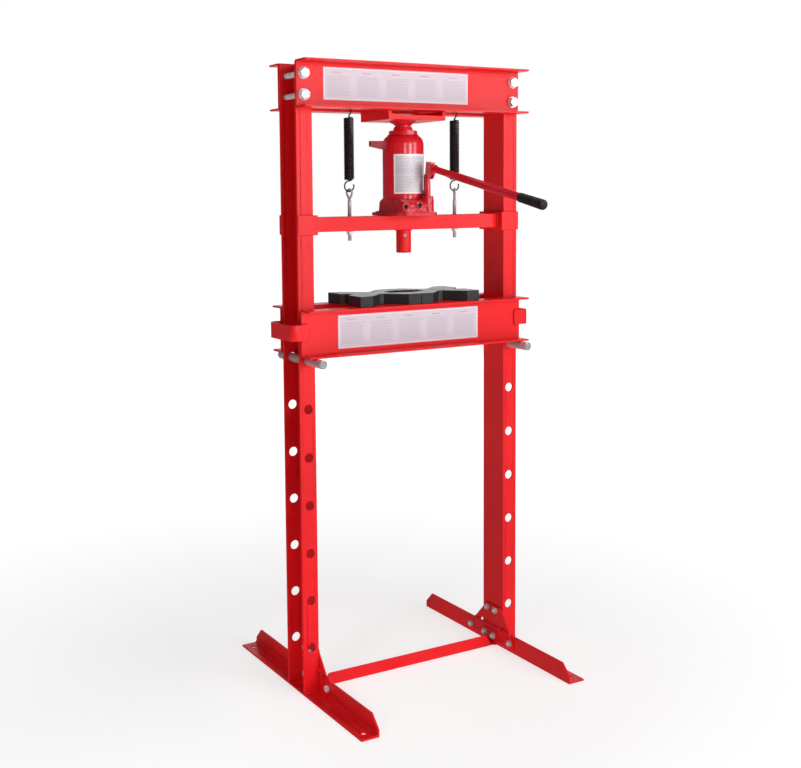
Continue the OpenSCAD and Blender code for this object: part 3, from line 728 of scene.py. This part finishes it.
slope = math.radians(11.6)
along = (0, -math.cos(slope), -math.sin(slope))
profile = [(8.05, 299), (8.7, 299), (9.1, 299.7), (9.15, 301.5), (8.9, 302.4)]
h = 302.4
while h < 356:
    base = 8.75 + (h - 302) / 56 * 0.7
    profile += [(base, h), (base + 0.32, h + 0.7), (base + 0.32, h + 2.1), (base, h + 2.8)]
    h += 3.6
profile += [(9.5, 358), (9.8, 360), (9.8, 366), (9.5, 368.6), (8.5, 370.2), (7.2, 370.9), (3, 371), (0, 371)]
v, f = lathe(profile, (27, -76, 1085.4), along, 56)
o = piece("grip", mesh_from("grip", v, f), "handle", "grip")
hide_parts("handle_grip")


# ---------------------------------------------------------------- studio


def studio():
    me = bpy.data.meshes.new("floor")
    floor = bpy.data.objects.new("floor", me)
    bpy.context.scene.collection.objects.link(floor)
    bm = bmesh.new()
    bm.faces.new([bm.verts.new((x, y, 0)) for x, y in ((-14, -14), (14, -14), (14, 14), (-14, 14))])
    bm.to_mesh(me)
    m = Nodes("studio_floor")
    m.color((0.46, 0.46, 0.46))
    m.put("Roughness", 0.8)
    far = m.new("ShaderNodeVectorMath", operation="LENGTH")
    m.link(m.place, far.inputs[0])
    m.put("Emission Color", (1, 1, 1, 1))
    m.link(m.ramp(far.outputs["Value"], 0.5, 2.3, 0.64, 1.0), m.shader.inputs["Emission Strength"])
    me.materials.append(m.mat)
    floor.visible_glossy = False

    world = bpy.data.worlds.new("studio")
    bpy.context.scene.world = world
    world.use_nodes = True
    tree = world.node_tree
    # white behind the object, dim as a light
    path = tree.nodes.new("ShaderNodeLightPath")
    strength = tree.nodes.new("ShaderNodeMapRange")
    strength.inputs["To Min"].default_value = 0.1
    tree.links.new(path.outputs["Is Camera Ray"], strength.inputs["Value"])
    tree.links.new(strength.outputs["Result"], tree.nodes["Background"].inputs["Strength"])
    tree.nodes["Background"].inputs["Color"].default_value = (1, 1, 1, 1)


def area_light(name, at, aim, size, power, gloss=True, diffuse=True):
    data = bpy.data.lights.new(name, "AREA")
    data.shape = "RECTANGLE"
    data.size, data.size_y = size
    data.energy = power
    o = bpy.data.objects.new(name, data)
    bpy.context.scene.collection.objects.link(o)
    o.location = at
    o.rotation_euler = (Vector(aim) - Vector(at)).to_track_quat("-Z", "Y").to_euler()
    o.visible_glossy = gloss
    o.visible_diffuse = diffuse


studio()
area_light("key", (1.1, -3.3, 1.15), (0, 0, 0.5), (1.6, 1.8), 60, gloss=False)
area_light("key_shine", (2.5, -3.3, 1.9), (0, 0, 0.9), (1.1, 1.1), 14)
area_light("front", (0.0, -3.4, 1.2), (0, 0, 0.6), (1.4, 1.8), 16, gloss=False)
area_light("top", (0.2, -0.4, 3.7), (0, 0, 0.6), (2.4, 2.4), 34)
area_light("back", (2.4, 4.2, 1.3), (0, 0, 0.8), (3.4, 2.6), 28)
area_light("strip_a", (-1.0, -2.85, 1.35), (0, 0, 1.1), (0.10, 1.1), 9, diffuse=False)
area_light("strip_b", (0.42, -2.97, 1.35), (0, 0, 1.1), (0.14, 1.3), 24, diffuse=False)
area_light("strip_c", (1.89, -2.33, 1.35), (0, 0, 1.1), (0.10, 1.1), 8, diffuse=False)

# low light on the feet
data = bpy.data.lights.new("feet", "SPOT")
data.energy = 42
data.spot_size = math.radians(27)
data.spot_blend = 1
data.shadow_soft_size = 0.25
feet = bpy.data.objects.new("feet", data)
bpy.context.scene.collection.objects.link(feet)
feet.location = (-1.6, -0.9, 0.8)
feet.rotation_euler = (Vector((-0.25, -0.05, 0)) - feet.location).to_track_quat("-Z", "Y").to_euler()
feet.visible_glossy = False

CAMERA_AT = (-1.32279, -2.11382, 1.03346)
CAMERA_TURN = (29.62, -5.28, -0.58)     # yaw, pitch and roll in degrees
camera_data = bpy.data.cameras.new("camera")
camera_data.sensor_width = 36
camera_data.lens = 52.27
camera_data.shift_x = 0.0567
camera_data.shift_y = -0.1022
camera_data.clip_end = 60
camera = bpy.data.objects.new("camera", camera_data)
bpy.context.scene.collection.objects.link(camera)
yaw, pitch, roll = (math.radians(d) for d in CAMERA_TURN)
ahead = Vector((math.sin(yaw) * math.cos(pitch), math.cos(yaw) * math.cos(pitch), math.sin(pitch)))
right = Vector((math.cos(yaw), -math.sin(yaw), 0))
above = right.cross(ahead)
cam_x = right * math.cos(roll) + above * math.sin(roll)
cam_y = above * math.cos(roll) - right * math.sin(roll)
turn = Matrix((cam_x, cam_y, -ahead)).transposed().to_4x4()
camera.matrix_world = Matrix.Translation(CAMERA_AT) @ turn
bpy.context.scene.camera = camera
bpy.context.scene.view_settings.view_transform = "Standard"
bpy.context.scene.view_settings.look = "None"
